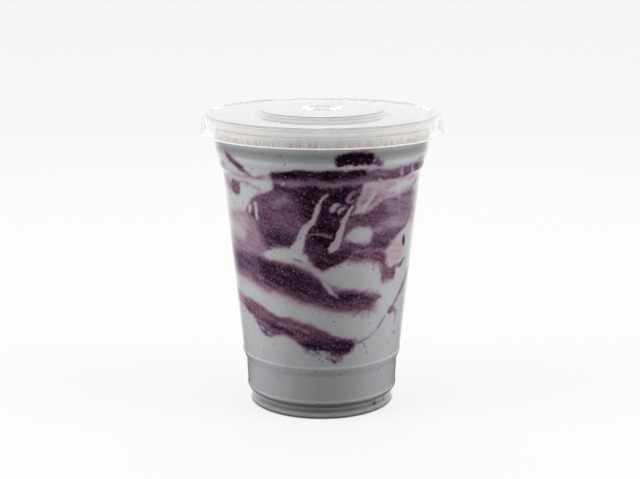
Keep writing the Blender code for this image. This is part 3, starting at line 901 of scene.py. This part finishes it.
stirred, yog_tree, yog_output = new_material("stirred_frozen_yogurt")
place_node = add_node(yog_tree, "TexCoord")
marks = add_node(yog_tree, "Attribute", settings={"attribute_name": "marbling_and_shade"})
mark_parts = add_node(yog_tree, "SeparateColor", links={"Color": marks.outputs["Color"]})
grain = add_node(
    yog_tree,
    "TexNoise",
    values={"Scale": 1.0 / GRAIN_SIZE, "Detail": 2.0, "Roughness": 0.5},
    links={"Vector": place_node.outputs["Object"]},
)
stir_tilt = add_node(
    yog_tree,
    "VectorMath",
    settings={"operation": "DOT_PRODUCT"},
    values={1: (STIR_SLOPE / STIR_WIDTH, 0.0, 1.0 / STIR_WIDTH)},
    links={0: place_node.outputs["Object"]},
)
stir_long = add_node(
    yog_tree,
    "VectorMath",
    settings={"operation": "MULTIPLY"},
    values={1: (1.0 / STIR_LENGTH, 1.0 / STIR_LENGTH, 0.0)},
    links={0: place_node.outputs["Object"]},
)
stir_up = add_node(yog_tree, "CombineXYZ", links={"Z": stir_tilt.outputs["Value"]})
stir_place = add_node(
    yog_tree,
    "VectorMath",
    settings={"operation": "ADD"},
    links={0: stir_long.outputs["Vector"], 1: stir_up.outputs["Vector"]},
)
stir = add_node(
    yog_tree,
    "TexNoise",
    values={"Scale": 1.0, "Detail": 2.0, "Roughness": 0.5},
    links={"Vector": stir_place.outputs["Vector"]},
)
grain_swing = add_node(
    yog_tree,
    "Math",
    settings={"operation": "MULTIPLY_ADD"},
    values={1: GRAIN_SWING, 2: -0.5 * GRAIN_SWING - 0.5 * STIR_SWING},
    links={0: grain.outputs["Fac"]},
)
full_swing = add_node(
    yog_tree,
    "Math",
    settings={"operation": "MULTIPLY_ADD"},
    values={1: STIR_SWING},
    links={0: stir.outputs["Fac"], 2: grain_swing.outputs["Value"]},
)
in_berry = add_node(
    yog_tree,
    "MapRange",
    settings={"interpolation_type": "SMOOTHSTEP"},
    values={"From Min": IN_BERRY[0], "From Max": IN_BERRY[1]},
    links={"Value": mark_parts.outputs["Red"]},
)
berry_amount = add_node(
    yog_tree,
    "Math",
    settings={"operation": "MULTIPLY_ADD"},
    links={0: full_swing.outputs["Value"], 1: in_berry.outputs["Result"], 2: mark_parts.outputs["Red"]},
)
berry_ramps = []
for tones in BERRY_TONES:
    ramp = add_node(yog_tree, "ValToRGB", links={"Fac": berry_amount.outputs["Value"]})
    elements = ramp.color_ramp.elements
    elements.remove(elements[1])
    elements[0].position = tones[0][1]
    elements[0].color = linear(tones[0][0])
    for hex_colour, position in tones[1:]:
        elements.new(position).color = linear(hex_colour)
    berry_ramps.append(ramp)
# A mix of colours takes them at sockets 6 and 7, and its output 2 is the mixed colour
berry_colour = add_node(
    yog_tree,
    "Mix",
    settings={"data_type": "RGBA"},
    links={
        "Factor": mark_parts.outputs["Green"],
        6: berry_ramps[0].outputs["Color"],
        7: berry_ramps[1].outputs["Color"],
    },
)
ice = add_node(
    yog_tree,
    "TexVoronoi",
    values={"Scale": 1.0 / ICE_SPACING},
    links={"Vector": place_node.outputs["Object"]},
)
ice_spots = add_node(
    yog_tree,
    "MapRange",
    values={"From Min": ICE_EDGE[0], "From Max": ICE_EDGE[1], "To Min": ICE_COVER, "To Max": 0.0},
    links={"Value": ice.outputs["Distance"]},
)
ice_chance = add_node(yog_tree, "SeparateColor", links={"Color": ice.outputs["Color"]})
ice_chosen = add_node(
    yog_tree,
    "Math",
    settings={"operation": "GREATER_THAN"},
    values={1: ICE_LEFT_OUT},
    links={0: ice_chance.outputs["Red"]},
)
ice_amount = add_node(
    yog_tree,
    "Math",
    settings={"operation": "MULTIPLY"},
    links={0: ice_spots.outputs["Result"], 1: ice_chosen.outputs["Value"]},
)
ice_in_berry = add_node(
    yog_tree,
    "Math",
    settings={"operation": "MULTIPLY"},
    links={0: ice_amount.outputs["Value"], 1: in_berry.outputs["Result"]},
)
with_ice = add_node(
    yog_tree,
    "Mix",
    settings={"data_type": "RGBA"},
    values={7: linear(ICE_WHITE)},
    links={"Factor": ice_in_berry.outputs["Value"], 6: berry_colour.outputs[2]},
)
seeds = add_node(
    yog_tree,
    "TexVoronoi",
    values={"Scale": 1.0 / SEED_SPACING},
    links={"Vector": place_node.outputs["Object"]},
)
seed_spots = add_node(
    yog_tree,
    "MapRange",
    values={"From Min": SEED_EDGE[0], "From Max": SEED_EDGE[1], "To Min": SEED_COVER, "To Max": 0.0},
    links={"Value": seeds.outputs["Distance"]},
)
with_seeds = add_node(
    yog_tree,
    "Mix",
    settings={"data_type": "RGBA"},
    values={7: linear(SEED_DARK)},
    links={"Factor": seed_spots.outputs["Result"], 6: with_ice.outputs[2]},
)
run_place = add_node(
    yog_tree,
    "Mapping",
    values={"Scale": (1.0 / RUN_WIDTH, 1.0 / RUN_WIDTH, 1.0 / RUN_LENGTH)},
    links={"Vector": place_node.outputs["Object"]},
)
runs = add_node(
    yog_tree,
    "TexNoise",
    values={"Scale": 1.0, "Detail": 2.0},
    links={"Vector": run_place.outputs["Vector"]},
)
run_contrast = add_node(
    yog_tree,
    "MapRange",
    values={"From Min": RUN_EDGES[0], "From Max": RUN_EDGES[1]},
    links={"Value": runs.outputs["Fac"]},
)
place_parts = add_node(yog_tree, "SeparateXYZ", links={"Vector": place_node.outputs["Object"]})
cream_drop = add_node(
    yog_tree,
    "MapRange",
    values={"From Min": CREAM_TOP, "From Max": CREAM_FOOT, "To Max": CREAM_BROWNING},
    links={"Value": place_parts.outputs["Z"]},
)
cream_brown = add_node(
    yog_tree,
    "Math",
    settings={"operation": "MULTIPLY", "use_clamp": True},
    links={0: run_contrast.outputs["Result"], 1: cream_drop.outputs["Result"]},
)
cream_colour = add_node(
    yog_tree,
    "Mix",
    settings={"data_type": "RGBA"},
    values={6: linear(CREAM_PALE), 7: linear(CREAM_BROWN)},
    links={"Factor": cream_brown.outputs["Value"]},
)
with_cream = add_node(
    yog_tree,
    "Mix",
    settings={"data_type": "RGBA"},
    links={"Factor": marks.outputs["Alpha"], 6: with_seeds.outputs[2], 7: cream_colour.outputs[2]},
)
# Painted shade and light: the blue channel darkens the colour, and below its baseline lightens it past the
# yogurt's own tone
shade_tone = add_node(
    yog_tree,
    "MapRange",
    values={"To Min": PAINTED_LIGHT_TONE, "To Max": PAINTED_SHADE_TONE},
    links={"Value": mark_parts.outputs["Blue"]},
)
grain_centred = add_node(
    yog_tree,
    "Math",
    settings={"operation": "SUBTRACT"},
    values={1: 0.5},
    links={0: grain.outputs["Fac"]},
)
# Random mottling, added to the painted shade and light
mottle_and_shade = add_node(
    yog_tree,
    "Math",
    settings={"operation": "MULTIPLY_ADD"},
    values={1: MOTTLE_SWING},
    links={0: grain_centred.outputs["Value"], 2: shade_tone.outputs["Result"]},
)
final_colour = add_node(
    yog_tree,
    "VectorMath",
    settings={"operation": "SCALE"},
    links={0: with_cream.outputs[2], "Scale": mottle_and_shade.outputs["Value"]},
)
# The wall's plastic is nearly as dense as the yogurt, so little light glances off between them
yog_shader = add_node(
    yog_tree,
    "BsdfPrincipled",
    values={"Roughness": 0.45, "IOR": 1.16},
    links={"Base Color": final_colour.outputs["Vector"]},
)
yog_tree.links.new(yog_shader.outputs["BSDF"], yog_output.inputs["Surface"])
yogurt.data.materials.append(stirred)
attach(yogurt, "root")
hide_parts("frozen_yogurt")


# Lid. A clear flat lid drawn from thinner PET sheet and pushed over the rim: a skirt with a
# flared lip, short ribs that grip under the rim, a flat panel, and a raised disc with a cross
# cut for a straw and two shallow dimples.
LID_WALL = 0.4 * MM
# Outline from the middle of the disc to the foot of the skirt: radius and height in millimetres
LID_CORNERS = (
    (0.0, 128.0), (8.2, 128.0), (9.8, 128.29), (26.8, 128.29), (27.1, 127.2), (29.9, 126.6),
    (47.2, 126.6), (48.2, 127.0), (49.9, 127.0), (50.75, 126.3), (51.05, 124.8), (51.3, 123.8),
    (51.35, 122.6), (51.45, 121.4), (51.75, 119.9), (51.95, 119.3),
)
LID_CORNER_RADIUS = 0.6 * MM
LID_CORNER_STEPS = 4
LID_STEP = 1.0 * MM
LID_TURN_STEPS = 288
LIP_RADIUS = 51.98 * MM
LIP_HEIGHT = 119.12 * MM
LIP_BEAD = 0.31 * MM
LIP_STEPS = 10
RIB_COUNT = 36
RIB_SHARE = 0.4
RIB_TOP = 123.9 * MM
RIB_FOOT = 122.5 * MM
RIB_PRESS = 0.995
DIMPLE_SIDES = (-5.0 * MM, 5.2 * MM)
DIMPLE_RISE = 0.25 * MM
DIMPLE_RADIUS = 1.7 * MM
STRAW_CUT_LENGTH = 15.0 * MM
STRAW_CUT_WIDTH = 0.35 * MM
STRAW_CUT_DEPTH = 4.0 * MM
STRAW_CUT_HEIGHT = 127.9 * MM
STRAW_CUT_TURNS = (45.0, 135.0)
SHARP_ANGLE = math.radians(35.0)
LID_TINT = "#FCFCFD"
# whitish colour of the lip bead, a painted highlight
LIP_HIGHLIGHT_WHITE = "#FBFBFC"

lid_outline = round_corners(
    [(radius * MM, height * MM) for radius, height in LID_CORNERS],
    LID_CORNER_RADIUS,
    LID_CORNER_STEPS,
)
lid = turn_outline("clear_lid", space_out(lid_outline, LID_STEP), LID_TURN_STEPS)

# The ribs are pressed inwards in the skin before it gets its wall
bpy.ops.object.mode_set(mode="EDIT")
bpy.ops.mesh.select_all(action="DESELECT")
bpy.ops.object.mode_set(mode="OBJECT")
rib_pitch = 2.0 * math.pi / RIB_COUNT
for vertex in lid.data.vertices:
    round_share = (math.atan2(vertex.co.x, -vertex.co.y) / rib_pitch) % 1.0
    vertex.select = RIB_FOOT < vertex.co.z < RIB_TOP and abs(round_share - 0.5) < RIB_SHARE / 2.0
bpy.ops.object.mode_set(mode="EDIT")
bpy.ops.transform.resize(value=(RIB_PRESS, RIB_PRESS, 1.0), center_override=(0.0, 0.0, 0.0))
bpy.ops.object.mode_set(mode="OBJECT")

# Two shallow dimples are pressed up in the middle of the disc
for dimple_side in DIMPLE_SIDES:
    for vertex in lid.data.vertices:
        dimple_reach = math.hypot(vertex.co.x - dimple_side, vertex.co.y)
        vertex.co.z += DIMPLE_RISE * math.exp(-((dimple_reach / DIMPLE_RADIUS) ** 2))
apply_wall(lid, LID_WALL)

for straw_cut_turn in STRAW_CUT_TURNS:
    bpy.ops.mesh.primitive_cube_add(
        size=1.0,
        location=(0.0, 0.0, STRAW_CUT_HEIGHT),
        rotation=(0.0, 0.0, math.radians(straw_cut_turn)),
        scale=(STRAW_CUT_LENGTH, STRAW_CUT_WIDTH, STRAW_CUT_DEPTH),
    )
    blade = bpy.context.object
    cut = lid.modifiers.new("straw cut", "BOOLEAN")
    cut.operation = "DIFFERENCE"
    cut.object = blade
    bpy.context.view_layer.objects.active = lid
    bpy.ops.object.modifier_apply(modifier=cut.name)
    bpy.data.objects.remove(blade)

# Drawn PET again, thinner: clear, glossy and a little hazy from the stretch
lid_pet, lid_tree, lid_output = new_material("drawn_thin_pet")
lid_shader = add_node(
    lid_tree,
    "BsdfPrincipled",
    values={
        "Base Color": linear(LID_TINT),
        "Roughness": 0.05,
        "IOR": PET_IOR,
        "Transmission Weight": 0.85,
    },
)
let_light_through(lid_tree, lid_shader, lid_output)
lid.data.materials.append(lid_pet)

# Lip: a rounded bead along the skirt's foot that catches the light, painted whitish and mostly
# diffuse as a painted highlight line
lip_highlight, lip_highlight_tree, lip_highlight_output = new_material("pet_lip_painted_highlight")
lip_highlight_shader = add_node(
    lip_highlight_tree,
    "BsdfPrincipled",
    values={
        "Base Color": linear(LIP_HIGHLIGHT_WHITE),
        "Roughness": 0.25,
        "IOR": PET_IOR,
        "Transmission Weight": 0.15,
    },
)
lip_highlight_tree.links.new(lip_highlight_shader.outputs["BSDF"], lip_highlight_output.inputs["Surface"])
bpy.ops.mesh.primitive_torus_add(
    major_radius=LIP_RADIUS,
    minor_radius=LIP_BEAD,
    major_segments=LID_TURN_STEPS,
    minor_segments=LIP_STEPS,
    location=(0.0, 0.0, LIP_HEIGHT),
)
lip = bpy.context.object
bpy.ops.object.transform_apply(location=True, rotation=True, scale=True)
lip.data.materials.append(lip_highlight)
lid.select_set(True)
bpy.context.view_layer.objects.active = lid
bpy.ops.object.join()
bpy.ops.object.shade_smooth_by_angle(angle=SHARP_ANGLE)
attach(lid, "root")
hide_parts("lid")
